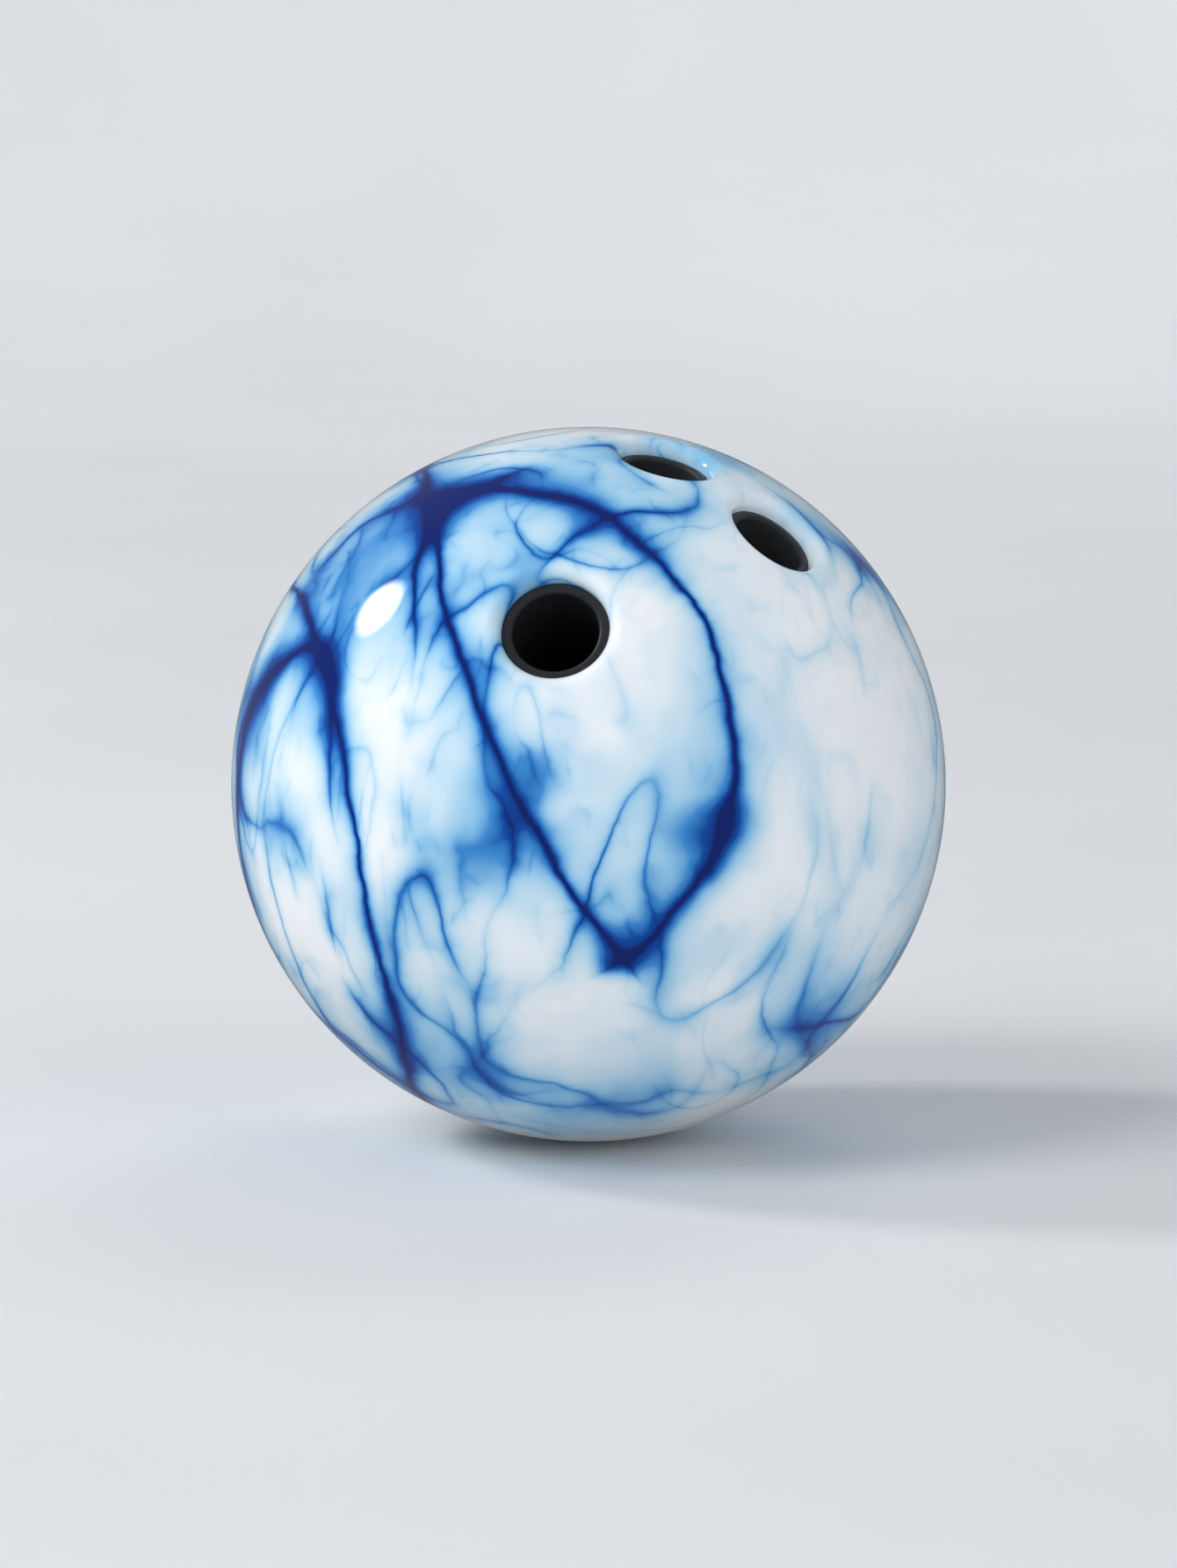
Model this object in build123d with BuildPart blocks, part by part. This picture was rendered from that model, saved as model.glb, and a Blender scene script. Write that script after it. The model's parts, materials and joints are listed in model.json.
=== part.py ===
from build123d import *

import os
from math import acos, asin, cos, degrees, pi, radians, sqrt, tan

# Three-piece bowling ball, drilled for a conventional grip and fitted with a thumb slug and finger inserts.
#
# Units are millimetres. The origin is the ball's centre and +Z is up as the ball stands. The three holes open
# on the upper side towards -Y. The locator pin comes out on the upper side towards +Y, on the weight block's
# axis.

INCH = 25.4

# Ball as cast: a shell round an inner ball
ball_radius = 8.55 * INCH / 2
shell_thickness = 0.75 * INCH
inner_radius = ball_radius - shell_thickness

# Linings: outside sizes are the drilled seats, bores are what the hand feels
thumb_seat_radius = 1.25 * INCH / 2
thumb_seat_depth = 2.625 * INCH
thumb_bore_radius = 1.0 * INCH / 2
finger_seat_radius = 1.09375 * INCH / 2
finger_seat_depth = 1.875 * INCH
finger_bore_radius = 0.875 * INCH / 2
slug_floor = 7.0
drill_point_angle = 135.0
lip_round = 4.0
slug_recess = 5.0
slug_mouth_round = 1.2
slug_rim_chamfer = 0.3
slug_foot_chamfer = 1.0
thumb_floor_round = 3.0
glue_groove_depth = 0.5
glue_groove_width = 1.6
glue_groove_pitch = 8.0
glue_groove_first = 8.0
thumb_groove_count = 5
finger_groove_count = 3

# Grip layout. The span runs from bore edge to bore edge; the bridge is the shell left between the seats.
span = 2.5 * INCH
bridge = 0.5625 * INCH
grip_longitude = 14.0
grip_latitude = 50.5
midline_turn = 49.5
# Distance by which a finger hole's axis misses the ball's centre, each on its own side, so that the two
# seats do not run together as they go down
finger_lateral_pitch = 0.375 * INCH

# Weight block: a bulb on a grooved stem, with a denser cap let into its top. Heights run along its own axis,
# which leans back from Z, and are measured from the ball's centre.
core_lean = 22.0
bulb_radius = 36.0
bulb_height = 12.0
stem_radius = 19.0
stem_foot_height = -48.0
stem_shoulder_round = 12.0
stem_foot_round = 4.0
key_groove_depth = 2.5
key_groove_width = 5.0
key_groove_heights = (-42.0, -32.0)
cap_seat_height = 38.0
cap_radius = 17.0
cap_top_height = 56.0
cap_edge_chamfer = 2.5
spigot_radius = 9.0
spigot_length = 12.0

# Locator pin, seated in the cap and ground flush with the shell
pin_radius = 0.375 * INCH / 2
pin_socket_depth = 8.0

# A hole's rim is bent over the ball, so it is slightly longer than a flat circle: by up to this share
rim_tolerance = 0.04

# Angles at the ball's centre, in degrees
centre_span = degrees((span + thumb_bore_radius + finger_bore_radius) / ball_radius)
half_spacing = degrees((finger_seat_radius + bridge / 2) / ball_radius)
half_midline = degrees(acos(cos(radians(centre_span)) / cos(radians(half_spacing)))) / 2
pitch_tilt = degrees(asin(finger_lateral_pitch / ball_radius))

# Grip frame: z leaves the ball at the grip centre and y runs along the mid-line towards the fingers
grip = Rotation(0, 0, grip_longitude) * Rotation(90 - grip_latitude, 0, 0) * Rotation(0, 0, -midline_turn)

# Weight block frame: z leaves the ball at the locator pin
core = Plane(Rotation(-core_lean, 0, 0))
pin_mouth = core.offset(ball_radius)


def mouth_plane(along_midline, across_midline, tilt):
    """Plane across a hole's mouth: its origin is on the ball and its z axis is the hole's, outwards."""
    aim = grip * Rotation(-along_midline, 0, 0) * Rotation(0, across_midline, 0)
    return Plane(aim * Pos(0, 0, ball_radius) * Rotation(0, -tilt, 0))


thumb_mouth = mouth_plane(-half_midline, 0, 0)
middle_mouth = mouth_plane(half_midline, -half_spacing, -pitch_tilt)
ring_mouth = mouth_plane(half_midline, half_spacing, pitch_tilt)
seats = [
    (thumb_mouth, thumb_seat_radius, thumb_seat_depth, False),
    (middle_mouth, finger_seat_radius, finger_seat_depth, True),
    (ring_mouth, finger_seat_radius, finger_seat_depth, True),
]


def rim(part, point, radius):
    """The round edge of this radius that lies nearest a point."""
    circumference = 2 * pi * radius
    closed = part.edges().filter_by(lambda e: e.is_closed)
    own = closed.filter_by(lambda e: abs(e.length - circumference) < rim_tolerance * circumference)
    return own.sort_by(lambda e: (e.center(CenterOf.BOUNDING_BOX) - point).length)[0]


def turn_groove(plane, radius, depth, width):
    """Cut one ring groove round a cylinder of this radius, upwards from the plane."""
    with BuildSketch(plane) as ring:
        Circle(radius + depth)
        Circle(radius - depth, mode=Mode.SUBTRACT)
    extrude(ring.sketch, amount=width, mode=Mode.SUBTRACT)


def drill_seats():
    """Bore the three seats; the finger seats end in the drill's point."""
    for mouth, radius, depth, pointed in seats:
        with Locations(mouth.location):
            Hole(radius, depth)
        if pointed:
            point_height = radius / tan(radians(drill_point_angle / 2))
            with Locations(mouth.offset(-depth - point_height / 2).location):
                Cone(0.0, radius, point_height, mode=Mode.SUBTRACT)


# Coverstock: the cast shell, drilled, with a rounded lip round each hole
with BuildPart() as coverstock:
    Sphere(ball_radius)
    Sphere(inner_radius, mode=Mode.SUBTRACT)
    drill_seats()
    with Locations(pin_mouth.location):
        Hole(pin_radius, ball_radius - cap_top_height)
    for mouth, radius, _, _ in seats:
        fillet(rim(coverstock.part, mouth.origin, radius), lip_round)
coverstock.part.label = "coverstock"

# Weight block: turned about its own axis, with a flat and a socket on top for the cap
with BuildPart() as weight_block:
    with Locations(core.offset(bulb_height).location):
        Sphere(bulb_radius)
    with BuildSketch(core.offset(stem_foot_height)):
        Circle(stem_radius)
    extrude(amount=bulb_height - stem_foot_height)
    shoulder = core.offset(bulb_height - sqrt(bulb_radius**2 - stem_radius**2))
    fillet(rim(weight_block.part, shoulder.origin, stem_radius), stem_shoulder_round)
    fillet(rim(weight_block.part, core.offset(stem_foot_height).origin, stem_radius), stem_foot_round)
    with BuildSketch(core.offset(cap_seat_height)):
        Circle(bulb_radius)
    extrude(amount=bulb_radius, mode=Mode.SUBTRACT)
    with Locations(core.offset(cap_seat_height).location):
        Hole(spigot_radius, spigot_length)
    for height in key_groove_heights:
        turn_groove(core.offset(height), stem_radius, key_groove_depth, key_groove_width)
weight_block.part.label = "weight_block"

# Weight block cap: a denser puck with a spigot below and the pin's socket above
with BuildPart() as weight_block_cap:
    with BuildSketch(core.offset(cap_seat_height)):
        Circle(cap_radius)
    extrude(amount=cap_top_height - cap_seat_height)
    chamfer(rim(weight_block_cap.part, core.offset(cap_top_height).origin, cap_radius), cap_edge_chamfer)
    with BuildSketch(core.offset(cap_seat_height)):
        Circle(spigot_radius)
    extrude(amount=-spigot_length)
    with Locations(core.offset(cap_top_height).location):
        Hole(pin_radius, pin_socket_depth)
weight_block_cap.part.label = "weight_block_cap"

# Locator pin: from its socket in the cap out to the ball's surface
with BuildPart() as locator_pin:
    with BuildSketch(core.offset(cap_top_height - pin_socket_depth)):
        Circle(pin_radius)
    extrude(amount=ball_radius)
    Sphere(ball_radius, mode=Mode.INTERSECT)
locator_pin.part.label = "locator_pin"

# Outer core: the light filler ball, cast round the weight block and drilled with the shell
with BuildPart() as outer_core:
    Sphere(inner_radius)
    add(weight_block.part, mode=Mode.SUBTRACT)
    add(weight_block_cap.part, mode=Mode.SUBTRACT)
    add(locator_pin.part, mode=Mode.SUBTRACT)
    drill_seats()
outer_core.part.label = "outer_core"

# Thumb slug: closed at the foot; its top follows the ball's curve below the shell's lip
thumb_foot = thumb_mouth.offset(-thumb_seat_depth)
with BuildPart() as thumb_slug:
    with BuildSketch(thumb_foot):
        Circle(thumb_seat_radius)
    extrude(amount=thumb_seat_depth)
    Sphere(ball_radius - slug_recess, mode=Mode.INTERSECT)
    with Locations(thumb_mouth.location):
        Hole(thumb_bore_radius, thumb_seat_depth - slug_floor)
    floor_centre = thumb_foot.offset(slug_floor).origin
    fillet(rim(thumb_slug.part, thumb_mouth.origin, thumb_bore_radius), slug_mouth_round)
    fillet(rim(thumb_slug.part, floor_centre, thumb_bore_radius), thumb_floor_round)
    chamfer(rim(thumb_slug.part, thumb_mouth.origin, thumb_seat_radius), slug_rim_chamfer)
    chamfer(rim(thumb_slug.part, thumb_foot.origin, thumb_seat_radius), slug_foot_chamfer)
    for turn in range(thumb_groove_count):
        ring_plane = thumb_foot.offset(glue_groove_first + turn * glue_groove_pitch)
        turn_groove(ring_plane, thumb_seat_radius, glue_groove_depth, glue_groove_width)
thumb_slug.part.label = "thumb_slug"


def finger_insert(name, mouth):
    """Open tube that stands on the shoulder of its seat; its top follows the ball's curve."""
    foot = mouth.offset(-finger_seat_depth)
    with BuildPart() as tube:
        with BuildSketch(foot):
            Circle(finger_seat_radius)
        extrude(amount=finger_seat_depth)
        Sphere(ball_radius - slug_recess, mode=Mode.INTERSECT)
        with Locations(mouth.location):
            Hole(finger_bore_radius, finger_seat_depth)
        fillet(rim(tube.part, mouth.origin, finger_bore_radius), slug_mouth_round)
        chamfer(rim(tube.part, mouth.origin, finger_seat_radius), slug_rim_chamfer)
        chamfer(rim(tube.part, foot.origin, finger_seat_radius), slug_foot_chamfer)
        for turn in range(finger_groove_count):
            ring_plane = foot.offset(glue_groove_first + turn * glue_groove_pitch)
            turn_groove(ring_plane, finger_seat_radius, glue_groove_depth, glue_groove_width)
    tube.part.label = name
    return tube


middle_finger_insert = finger_insert("middle_finger_insert", middle_mouth)
ring_finger_insert = finger_insert("ring_finger_insert", ring_mouth)

pieces = [
    coverstock,
    outer_core,
    weight_block,
    weight_block_cap,
    locator_pin,
    thumb_slug,
    middle_finger_insert,
    ring_finger_insert,
]
os.makedirs("parts", exist_ok=True)
for piece in pieces:
    export_step(piece.part, f"parts/{piece.part.label}.step")
    centre = [round(v, 2) for v in piece.part.center()]
    print(f"{piece.part.label}: {piece.part.volume:.0f} mm3, centre {centre}, valid {piece.part.is_valid}")
for mouth, radius, _, _ in seats:
    origin = [round(v, 3) for v in mouth.origin]
    print(f"seat of radius {radius:.3f}: mouth at {origin}, axis {[round(v, 6) for v in mouth.z_dir]}")
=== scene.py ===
import json
from math import cos, pi, radians, sin, sqrt

import bpy
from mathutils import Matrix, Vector, geometry


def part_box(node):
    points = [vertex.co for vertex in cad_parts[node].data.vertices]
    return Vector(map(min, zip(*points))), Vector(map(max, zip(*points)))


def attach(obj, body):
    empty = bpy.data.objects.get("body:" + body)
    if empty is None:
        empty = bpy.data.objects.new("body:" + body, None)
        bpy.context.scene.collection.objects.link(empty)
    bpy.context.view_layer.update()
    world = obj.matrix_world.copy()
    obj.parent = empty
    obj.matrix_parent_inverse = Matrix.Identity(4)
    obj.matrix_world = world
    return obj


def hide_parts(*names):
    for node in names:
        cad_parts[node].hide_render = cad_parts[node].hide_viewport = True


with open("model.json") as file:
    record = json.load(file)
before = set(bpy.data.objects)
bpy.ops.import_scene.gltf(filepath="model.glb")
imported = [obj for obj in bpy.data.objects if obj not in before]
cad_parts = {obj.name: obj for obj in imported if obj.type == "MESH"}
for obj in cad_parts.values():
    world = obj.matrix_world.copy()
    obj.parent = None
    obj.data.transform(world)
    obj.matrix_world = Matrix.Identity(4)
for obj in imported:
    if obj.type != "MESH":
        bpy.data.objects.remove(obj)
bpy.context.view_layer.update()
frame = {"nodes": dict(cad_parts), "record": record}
scene = bpy.context.scene
nodes = frame["nodes"]
mounts = {m["name"]: m for m in frame["record"]["mounts"]}

MM = 0.001
BALL_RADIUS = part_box("coverstock")[1][2]
INNER_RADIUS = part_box("outer_core")[1][2]
PLAY = 0.02 * MM  # gap all round between the shown holes and the pieces in them
LIP_ROUND = 4 * MM
PIN_LIP = 0.05 * MM
CORE_LEAN = radians(22)
PIN_AXIS = (0, sin(CORE_LEAN), cos(CORE_LEAN))
FLOOR = -BALL_RADIUS
FRONT = Vector((0, -1, 0))
RIGHT = Vector((1, 0, 0))
UP = Vector((0, 0, 1))
RIM_POINTS = 120  # round each lined hole's lip
PIN_POINTS = 48
SKIN_SPACING = 2.6 * MM
INNER_SPACING = 7 * MM


# ---------------------------------------------------------------- mesh helpers


def slug_radius(name, axis):
    """Radius of a lining: how far its points lie from the hole's axis."""
    through = Vector(mounts[axis]["pos_m"])
    along = Vector(mounts[axis]["axis"]).normalized()
    offsets = [v.co - through for v in nodes[name].data.vertices]
    return max((offset - offset.dot(along) * along).length for offset in offsets)


def drilled_hole(through, along, radius, lip, count, spread):
    """Rings of points down one drilled hole, from the shell's outer face to its inner face.

    The lip is the round that a ball of the lip's radius leaves as it rolls between the hole and the shell.
    The first rings lie on the outer face, out from the lip by the angles in spread, in radians.
    """
    along = Vector(along).normalized()
    through = Vector(through)
    foot = through - through.dot(along) * along
    side = along.orthogonal().normalized()
    other = along.cross(side)
    arc_steps = 10 if lip > 1 * MM else 2
    wall_steps = 4
    rings = [[] for _ in range(len(spread) + arc_steps + 1 + wall_steps)]
    for i in range(count):
        turn = 2 * pi * i / count
        out = cos(turn) * side + sin(turn) * other
        base = foot + (radius + lip) * out
        centre = base + sqrt((BALL_RADIUS - lip) ** 2 - base.length_squared) * along
        aim = centre.normalized()
        tangent = (out - out.dot(aim) * aim).normalized()
        column = [BALL_RADIUS * (aim + s * tangent).normalized() for s in reversed(spread)]
        column += [centre + lip * aim.slerp(-out, k / arc_steps) for k in range(arc_steps + 1)]
        wall = foot + radius * out
        top = (column[-1] - wall).dot(along)
        low = sqrt(INNER_RADIUS**2 - wall.length_squared)
        column += [wall + (top + (low - top) * k / wall_steps) * along for k in range(1, wall_steps + 1)]
        for ring, point in zip(rings, column):
            ring.append(point)
    return rings


def sphere_points(spacing):
    """Unit vectors spread evenly over a sphere, about this far apart in radians."""
    count = int(4 * pi / (spacing**2 * sqrt(3) / 2))
    golden = pi * (3 - sqrt(5))
    points = []
    for i in range(count):
        z = 1 - (2 * i + 1) / count
        r = sqrt(1 - z * z)
        points.append(Vector((r * cos(golden * i), r * sin(golden * i), z)))
    return points


class Shell:
    """Collects vertices and faces of a closed shell with round holes through it."""

    def __init__(self):
        self.points = []
        self.faces = []

    def add(self, points):
        start = len(self.points)
        self.points += points
        return list(range(start, len(self.points)))

    def strip(self, upper, lower):
        """A band of faces down a hole's wall, between two rings of vertex numbers."""
        for i in range(len(upper)):
            j = (i + 1) % len(upper)
            self.faces.append((upper[j], lower[j], lower[i], upper[i]))

    def skin(self, rings, radius, spacing, flip):
        """Triangles over a sphere between these rings of vertex numbers, each of which rims a hole.

        The sphere is laid flat from its lowest point, which a small fan of triangles closes.
        """
        reach = []
        for ring in rings:
            middle = sum((self.points[i] for i in ring), Vector()).normalized()
            reach.append((middle, max(middle.angle(self.points[i]) for i in ring)))
        pole = Vector((0, 0, -1))
        blades = 12
        fan = 1.5 * spacing
        clear = 0.6 * spacing
        free = [p for p in sphere_points(spacing) if p.angle(pole) > fan + clear]
        free = [p for p in free if all(p.angle(m) > a + clear for m, a in reach)]
        turns = [2 * pi * i / blades for i in range(blades)]
        edge = [Vector((sin(fan) * cos(t), sin(fan) * sin(t), -cos(fan))) for t in turns]
        edge_ids = self.add([radius * p for p in edge])
        free_ids = self.add([radius * p for p in free])
        ids = edge_ids + [i for ring in rings for i in ring] + free_ids
        place = {v: k for k, v in enumerate(ids)}
        flat = []
        for i in ids:
            p = self.points[i].normalized()
            flat.append(Vector((p.x, p.y)) / (1 + p.z))
        loops = [edge_ids] + rings
        fixed = [(place[r[i]], place[r[(i + 1) % len(r)]]) for r in loops for i in range(len(r))]
        out = geometry.delaunay_2d_cdt(flat, fixed, [], 0, 1e-10)
        source = [o[0] for o in out[3]]
        rim_of = {i: k for k, ring in enumerate(rings) for i in ring}
        for face in out[2]:
            corners = [ids[source[v]] for v in face]
            owners = {rim_of.get(c, -1) for c in corners}
            if len(owners) == 1 and -1 not in owners:
                continue
            self.faces.append(tuple(reversed(corners)) if flip else tuple(corners))
        tip = self.add([radius * pole])[0]
        for i in range(blades):
            a, b = edge_ids[i], edge_ids[(i + 1) % blades]
            self.faces.append((a, b, tip) if flip else (b, a, tip))


def cover_mesh():
    """The shell as one closed mesh: outer face, three lipped holes, the pin's hole and the inner face."""
    finger = slug_radius("middle_finger_insert", "middle_finger_hole")
    thumb = slug_radius("thumb_slug", "thumb_hole")
    drilled = []
    for name, radius in (("thumb_hole", thumb), ("middle_finger_hole", finger), ("ring_finger_hole", finger)):
        m = mounts[name]
        spread = (0.009, 0.022)
        drilled.append(drilled_hole(m["pos_m"], m["axis"], radius + PLAY, LIP_ROUND, RIM_POINTS, spread))
    pin_radius = (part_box("locator_pin")[1][0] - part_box("locator_pin")[0][0]) / 2
    drilled.append(drilled_hole(PIN_AXIS, PIN_AXIS, pin_radius + PLAY, PIN_LIP, PIN_POINTS, (0.008, 0.02)))
    shell = Shell()
    outer, inner = [], []
    for rings in drilled:
        ids = [shell.add(ring) for ring in rings]
        for upper, lower in zip(ids, ids[1:]):
            shell.strip(upper, lower)
        outer.append(ids[0])
        inner.append(ids[-1])
    shell.skin(outer, BALL_RADIUS, SKIN_SPACING / BALL_RADIUS, flip=False)
    shell.skin(inner, INNER_RADIUS, INNER_SPACING / INNER_RADIUS, flip=True)
    mesh = bpy.data.meshes.new("coverstock_shell")
    mesh.from_pydata([tuple(p) for p in shell.points], [], shell.faces)
    mesh.validate()
    mesh.shade_smooth()
    mesh.set_sharp_from_angle(angle=radians(40))
    return mesh


# ---------------------------------------------------------------- material helpers


class Net:
    """A node tree, with one short call for each kind of node used here."""

    def __init__(self, name):
        self.material = bpy.data.materials.new(name)
        self.material.use_nodes = True
        self.tree = self.material.node_tree
        self.shader = self.tree.nodes["Principled BSDF"]
        self.place = self.node("ShaderNodeTexCoord").outputs["Object"]

    def node(self, kind, **settings):
        made = self.tree.nodes.new(kind)
        for key, value in settings.items():
            setattr(made, key, value)
        return made

    def put(self, socket, value):
        if isinstance(value, bpy.types.NodeSocket):
            self.tree.links.new(value, socket)
        else:
            socket.default_value = value

    def math(self, operation, *values):
        made = self.node("ShaderNodeMath", operation=operation)
        for socket, value in zip(made.inputs, values):
            self.put(socket, value)
        return made.outputs[0]

    def vector(self, operation, *values):
        made = self.node("ShaderNodeVectorMath", operation=operation)
        for socket, value in zip(made.inputs, values):
            self.put(socket, value)
        return made.outputs["Value" if operation in ("DOT_PRODUCT", "LENGTH", "DISTANCE") else "Vector"]

    def scaled(self, vector, factor):
        made = self.node("ShaderNodeVectorMath", operation="SCALE")
        self.put(made.inputs[0], vector)
        self.put(made.inputs["Scale"], factor)
        return made.outputs[0]

    def noise(self, vector, scale, seed, detail=2.0, roughness=0.5, colour=False):
        made = self.node("ShaderNodeTexNoise", noise_dimensions="4D")
        self.put(made.inputs["Vector"], vector)
        self.put(made.inputs["W"], seed)
        self.put(made.inputs["Scale"], scale)
        self.put(made.inputs["Detail"], detail)
        self.put(made.inputs["Roughness"], roughness)
        return made.outputs["Color" if colour else "Fac"]

    def between(self, value, low, high, to_low=0.0, to_high=1.0, smooth=True):
        made = self.node("ShaderNodeMapRange", interpolation_type="SMOOTHSTEP" if smooth else "LINEAR")
        for socket, v in zip(made.inputs, (value, low, high, to_low, to_high)):
            self.put(socket, v)
        return made.outputs[0]

    def ramp(self, value, stops):
        made = self.node("ShaderNodeValToRGB")
        elements = made.color_ramp.elements
        while len(elements) < len(stops):
            elements.new(0.5)
        for element, (at, colour) in zip(elements, stops):
            element.position = at
            element.color = (*colour, 1)
        self.put(made.inputs[0], value)
        return made.outputs[0]

    def mix(self, factor, a, b):
        made = self.node("ShaderNodeMix", data_type="RGBA")
        # Inputs 6 and 7 and output 2 are the node's colour sockets
        self.put(made.inputs[0], factor)
        self.put(made.inputs[6], a)
        self.put(made.inputs[7], b)
        return made.outputs[2]

    def dot(self, vector, direction):
        return self.vector("DOT_PRODUCT", vector, tuple(direction))

    def bump(self, height, distance, strength=1.0):
        made = self.node("ShaderNodeBump")
        self.put(made.inputs["Height"], height)
        self.put(made.inputs["Distance"], distance)
        self.put(made.inputs["Strength"], strength)
        self.put(self.shader.inputs["Normal"], made.outputs[0])

    def set(self, **values):
        for key, value in values.items():
            self.put(self.shader.inputs[key.replace("_", " ")], value)
        return self.material


def facing(longitude, latitude):
    """Direction on the ball: longitude from the front towards +X and latitude up, in degrees."""
    lon, lat = radians(longitude), radians(latitude)
    return Vector((cos(lat) * sin(lon), -cos(lat) * cos(lon), sin(lat)))


class Marble(Net):
    """Marble whose ink runs from 0 for white to 1 for navy, drawn out along Z and swirled by smooth noise."""

    def __init__(self, name):
        super().__init__(name)
        self.unit = self.scaled(self.place, 1 / BALL_RADIUS)
        self.flow = self.drift(1.5, seed=2.0, detail=0.6)
        self.curl = self.drift(5.0, seed=8.0, detail=3.0, roughness=0.55)
        self.warped = self.swirled(0.40, 0.06)
        self.tall = self.vector("MULTIPLY", self.warped, (1.0, 1.0, 0.38))

    def drift(self, scale, **settings):
        """Vectors that wander about zero."""
        return self.vector("SUBTRACT", self.noise(self.unit, scale, colour=True, **settings), (0.5, 0.5, 0.5))

    def swirled(self, wide, fine):
        bent = self.vector("ADD", self.unit, self.scaled(self.flow, wide))
        return self.vector("ADD", bent, self.scaled(self.curl, fine))

    def ink(self, away, width):
        """Ink that is full on a line and thins out beside it, slowly, as dye does in resin."""
        faintest = 0.07
        ink = self.math("DIVIDE", width, self.math("ADD", self.math("ABSOLUTE", away), width))
        return self.between(ink, faintest, 1.0, smooth=False)

    def times(self, first, *others):
        for other in others:
            first = self.math("MULTIPLY", first, other)
        return first

    def over(self, *inks):
        """Inks laid over each other, so that crossings are darker than either line."""
        first = inks[0]
        for other in inks[1:]:
            first = self.math("SUBTRACT", self.math("ADD", first, other), self.times(first, other))
        return first

    def past(self, direction, low, high):
        """0 on the part of the ball short of this far along a direction, 1 on the part beyond."""
        return self.between(self.dot(self.unit, direction), low, high)

    def cleared(self, direction, least):
        """The least value round this direction, rising to 1 about 45 degrees away from it."""
        return self.between(self.dot(self.unit, direction), 0.95, 0.70, least, 1.0)

    def veins(self, scale, seed, width, keep):
        """Lines where a smooth noise crosses its middle; each swells and thins, and fades in and out.

        A second noise fades them: none below the first value in keep, all above the second.
        """
        noise = self.noise(self.tall, scale, seed, detail=0.4)
        away = self.math("DIVIDE", self.math("SUBTRACT", noise, 0.5), 0.75 * scale)
        swell = self.noise(self.unit, 3.5, seed + 3.0, detail=1.0)
        thick = self.between(swell, 0.3, 0.7, 0.4 * width, 2.0 * width)
        present = self.between(self.noise(self.unit, 0.9 * scale, seed + 7.3, detail=1.0), *keep)
        return self.times(self.ink(away, thick), present)

    def stroke(self, start, middle, end, thickness):
        """Ink along the circle on the ball that runs through three directions, gently swirled."""
        normal = (middle - start).cross(end - start).normalized()
        away = self.math("SUBTRACT", self.dot(self.swirled(0.16, 0.05), normal), normal.dot(start))
        return self.times(self.ink(away, thickness), self.past(FRONT, -0.25, 0.10))


def placed_veins(net):
    """Long veins on the front: two that part above the thumb hole and meet below it, and one on the left."""
    thickness = net.between(net.noise(net.unit, 3.0, seed=44.0, detail=1.0), 0.3, 0.7, 0.005, 0.016)
    # Where the veins are thicker: direction, reach in degrees, extra thickness in ball radii
    knots = (
        (facing(-50, 55), 14, 0.010),
        (facing(20, 2), 12, 0.009),
        (facing(6, -21), 9, 0.013),
        (facing(-40, -36), 14, 0.014),
    )
    for knot, reach, extra in knots:
        swelling = net.between(net.dot(net.unit, knot), cos(radians(reach)), 1.0, 0.0, extra)
        thickness = net.math("ADD", thickness, swelling)
    bend = facing(20, 2)
    meeting = facing(6, -21)
    above_meeting = net.past(UP, -0.43, -0.33)
    thinner, thicker = net.times(thickness, 0.75), net.times(thickness, 1.3)
    left = net.stroke(facing(-54, 56), facing(-18, 21), meeting, thinner)
    upper_right = net.stroke(facing(-27, 60), facing(17, 41), bend, thickness)
    lower_right = net.stroke(bend, facing(13, -13), meeting, thickness)
    return net.over(
        net.times(left, above_meeting),
        net.times(upper_right, net.past(UP, -0.08, 0.02), net.past(RIGHT, -0.55, -0.35)),
        net.times(lower_right, above_meeting, net.past(-UP, -0.12, -0.04), net.past(RIGHT, -0.03, 0.06)),
        net.stroke(facing(-68, 31), facing(-40, 2), facing(-38, -34), thicker),
    )


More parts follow.
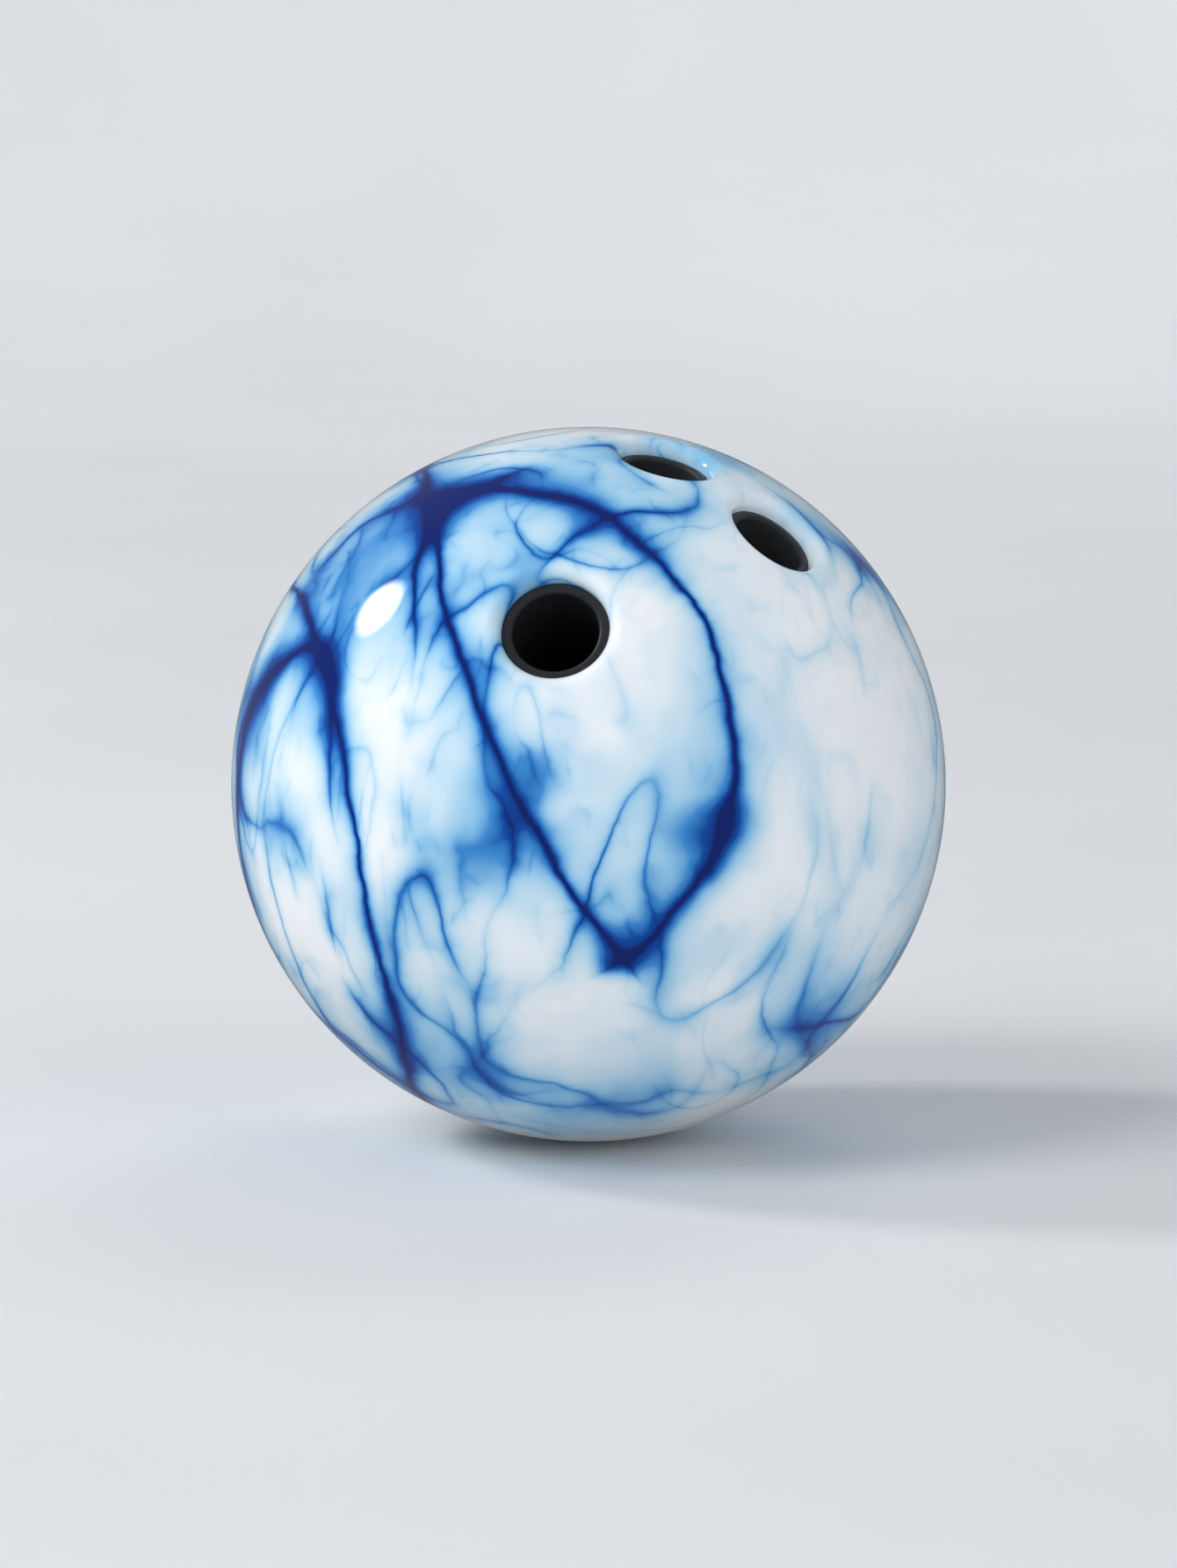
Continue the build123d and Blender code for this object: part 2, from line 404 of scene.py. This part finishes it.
def marble():
    """White and pale blue marble with navy veins."""
    net = Marble("marbled_polyester")
    calm = net.times(net.cleared(facing(42, 8), 0.1), net.cleared(facing(8, -58), 0.1))
    fainter = net.between(calm, 0.0, 1.0, 0.5, 1.0, smooth=False)
    off_front = net.cleared(facing(0, 18), 0.1)
    on_back = net.past(-FRONT, 0.0, 0.3)
    strong = net.times(net.veins(1.2, 3.1, 0.012, (0.42, 0.54)), off_front, calm)
    ink = net.over(placed_veins(net), strong, net.times(net.veins(1.7, 57.9, 0.010, (0.40, 0.52)), on_back))
    layers = (  # scale, seed, width, keep, weight
        (1.7, 15.7, 0.0085, (0.40, 0.60), 0.68),
        (2.2, 27.9, 0.0065, (0.40, 0.62), 0.60),
        (3.1, 35.2, 0.0055, (0.42, 0.64), 0.48),
        (4.6, 47.5, 0.0055, (0.44, 0.68), 0.30),
        (7.5, 61.3, 0.0040, (0.45, 0.68), 0.18),
        (11.0, 73.1, 0.0032, (0.46, 0.70), 0.13),
    )
    for scale, seed, width, keep, weight in layers:
        ink = net.over(ink, net.times(net.veins(scale, seed, width, keep), fainter, weight))
    cloud = net.between(net.noise(net.tall, 2.2, seed=5.5, detail=3.0), 0.36, 0.66, -0.065, 0.12)
    pool = net.between(net.dot(net.warped, facing(-38, 52)), 0.80, 1.05, 0.0, 0.22)
    colour = net.ramp(
        net.math("ADD", net.math("ADD", ink, cloud), pool),
        [
            (0.00, (0.91, 0.94, 0.965)),
            (0.10, (0.78, 0.87, 0.935)),
            (0.21, (0.56, 0.76, 0.895)),
            (0.35, (0.28, 0.57, 0.82)),
            (0.50, (0.045, 0.26, 0.64)),
            (0.66, (0.0, 0.065, 0.36)),
            (0.86, (0.0, 0.012, 0.14)),
        ],
    )
    haze = net.noise(net.place, 55.0, seed=1.0, detail=4.0, roughness=0.6)
    rough = net.between(haze, 0.35, 0.75, 0.025, 0.075)
    brushed = net.vector("MULTIPLY", net.place, (1.0, 0.25, 1.0))
    net.bump(net.noise(brushed, 900.0, seed=4.0, roughness=0.6), 0.004 * MM, 0.35)
    return net.set(Base_Color=colour, Roughness=rough, IOR=1.5)


def speckled(name, base, fleck, grain, rough, relief, turned_on=None):
    """A cast or moulded plastic: a base colour with flecks, and a grain in its surface.

    One that is turned on a mount's axis also has fine sanding rings round that axis.
    """
    net = Net(name)
    flecks = net.between(net.noise(net.place, grain, seed=3.0, detail=3.0, roughness=0.65), 0.55, 0.72)
    cloud = net.noise(net.place, 0.08 * grain, seed=9.0, detail=3.0)
    dark = tuple(0.82 * c for c in base)
    colour = net.mix(flecks, net.mix(cloud, (*dark, 1), (*base, 1)), (*fleck, 1))
    roughness = net.between(cloud, 0.3, 0.7, rough - 0.06, rough + 0.06)
    height = net.noise(net.place, 1.7 * grain, seed=6.0, detail=3.0, roughness=0.6)
    if turned_on:
        offset = net.vector("SUBTRACT", net.place, tuple(mounts[turned_on]["pos_m"]))
        radius = net.vector("LENGTH", net.vector("CROSS_PRODUCT", offset, tuple(mounts[turned_on]["axis"])))
        rings = net.noise(net.place, 60.0, seed=net.math("DIVIDE", radius, 0.25 * MM), roughness=0.6)
        height = net.math("ADD", height, net.math("MULTIPLY", rings, 2.0))
    net.bump(height, relief)
    return net.set(Base_Color=colour, Roughness=roughness)


# ---------------------------------------------------------------- the ball

cover = bpy.data.objects.new("coverstock_shell", cover_mesh())
scene.collection.objects.link(cover)
cover.data.materials.append(marble())
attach(cover, "root")
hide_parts("coverstock")


def slug_plastic(axis):
    black, grey = (0.022, 0.022, 0.026), (0.035, 0.035, 0.04)
    return speckled(f"slug_{axis}", black, grey, 1500.0, 0.33, 0.02 * MM, axis)


def insert_vinyl(axis):
    black, grey = (0.028, 0.028, 0.032), (0.045, 0.045, 0.05)
    return speckled(f"insert_{axis}", black, grey, 1800.0, 0.45, 0.03 * MM, axis)


finishes = {  # base colour, flecks, grain, roughness, relief
    "outer_core": speckled("filler_resin", (0.70, 0.64, 0.50), (0.86, 0.82, 0.72), 700.0, 0.7, 0.05 * MM),
    "weight_block": speckled("block_resin", (0.26, 0.27, 0.30), (0.40, 0.41, 0.44), 900.0, 0.55, 0.04 * MM),
    "weight_block_cap": speckled("cap_resin", (0.13, 0.14, 0.17), (0.26, 0.27, 0.30), 900.0, 0.5, 0.04 * MM),
    "locator_pin": speckled("pin_resin", (0.012, 0.02, 0.16), (0.03, 0.06, 0.28), 1200.0, 0.14, 0.002 * MM),
    "thumb_slug": slug_plastic("thumb_hole"),
    "middle_finger_insert": insert_vinyl("middle_finger_hole"),
    "ring_finger_insert": insert_vinyl("ring_finger_hole"),
}
for name, finish in finishes.items():
    nodes[name].data.materials.clear()
    nodes[name].data.materials.append(finish)


# ---------------------------------------------------------------- studio


def sweep():
    """A round floor that curves up into a wall on every side, so that each view has the same backdrop."""
    flat, bend, top = 2.4, 2.4, 4.5
    bend_steps = 12
    profile = [(flat * k / 5, 0.0) for k in range(1, 5)]
    for k in range(bend_steps + 1):
        angle = pi / 2 * k / bend_steps
        profile.append((flat + bend * sin(angle), bend - bend * cos(angle)))
    profile.append((flat + bend, top))
    turns = 96
    round_about = [(cos(2 * pi * i / turns), sin(2 * pi * i / turns)) for i in range(turns)]
    points = [(r * x, r * y, FLOOR + z) for r, z in profile for x, y in round_about]
    faces = [tuple(range(turns))]
    for k in range(len(profile) - 1):
        for i in range(turns):
            j = (i + 1) % turns
            faces.append((k * turns + i, (k + 1) * turns + i, (k + 1) * turns + j, k * turns + j))
    mesh = bpy.data.meshes.new("studio_sweep")
    mesh.from_pydata(points, [], faces)
    mesh.shade_smooth()
    made = bpy.data.objects.new("studio_sweep", mesh)
    made.visible_glossy = False
    scene.collection.objects.link(made)
    net = Net("studio_paper_painted_glow")
    tones = [(0.3, (0.75, 0.76, 0.77)), (0.7, (0.79, 0.80, 0.805))]
    paper = net.ramp(net.noise(net.place, 3.0, seed=0.0), tones)
    net.set(Base_Color=paper, Roughness=0.75)
    # Painted light: far from the ball the paper glows faintly, standing in for lamp light on the wall, except
    # on the left, where two lamps light it most
    glow = net.between(net.vector("LENGTH", net.place), 0.8, 3.2, 0.0, 0.13)
    glow = net.math("MULTIPLY", glow, net.between(net.dot(net.place, RIGHT), -3.0, -0.8))
    # The emission here is painted light on the paper, not a lamp
    net.set(Emission_Color=(0.93, 0.96, 1.0, 1), Emission_Strength=glow)
    net.material.cycles.emission_sampling = "NONE"
    mesh.materials.append(net.material)
    return made


def soft_light(name, place, size, power, mirrored=False):
    """A round soft box, bright in the middle and fading out towards its rim, aimed at the ball.

    Only a mirrored one shows as a highlight on polished surfaces.
    """
    lamp = bpy.data.lights.new(name, "AREA")
    lamp.shape = "DISK"
    lamp.size = size
    lamp.energy = power
    lamp.use_nodes = True
    tree = lamp.node_tree
    glow = tree.nodes["Emission"]
    spot = tree.nodes.new("ShaderNodeNewGeometry").outputs["Parametric"]
    reach = tree.nodes.new("ShaderNodeVectorMath")
    reach.operation = "DISTANCE"
    reach.inputs[1].default_value = (0.5, 0.5, 0.0)
    tree.links.new(spot, reach.inputs[0])
    fade = tree.nodes.new("ShaderNodeMapRange")
    fade.interpolation_type = "SMOOTHSTEP"
    full_within, rim, full, dark = 0.22, 0.5, 1.9, 0.0
    for socket, value in zip(fade.inputs[1:5], (full_within, rim, full, dark)):
        socket.default_value = value
    tree.links.new(reach.outputs["Value"], fade.inputs[0])
    tree.links.new(fade.outputs[0], glow.inputs["Strength"])
    made = bpy.data.objects.new(name, lamp)
    made.location = place
    made.rotation_euler = (-Vector(place)).to_track_quat("-Z", "Y").to_euler()
    made.visible_camera = False
    made.visible_glossy = mirrored
    scene.collection.objects.link(made)


sweep()
soft_light("key", (-3.2, -2.45, 3.6), 3.8, 125)
soft_light("glint", (-2.12, 0.55, 1.72), 0.8, 25, mirrored=True)
soft_light("fill", (1.9, -2.3, 1.0), 2.6, 17)
soft_light("back", (1.4, 3.1, 3.1), 3.1, 29)
world = bpy.data.worlds.new("studio")
world.use_nodes = True
world.node_tree.nodes["Background"].inputs["Color"].default_value = (0.86, 0.91, 1.0, 1)
world.node_tree.nodes["Background"].inputs["Strength"].default_value = 0.23
scene.world = world

ELEVATION = radians(8)
DISTANCE = 2.2
LENS = 166  # shows the ball at three fifths of the frame's width
camera = bpy.data.cameras.new("camera")
camera.lens = LENS
camera.clip_end = 20
eye = bpy.data.objects.new("camera", camera)
eye.location = DISTANCE * Vector((0, -cos(ELEVATION), sin(ELEVATION)))
eye.rotation_euler = (pi / 2 - ELEVATION, 0, 0)
scene.collection.objects.link(eye)
scene.camera = eye
scene.view_settings.view_transform = "Standard"
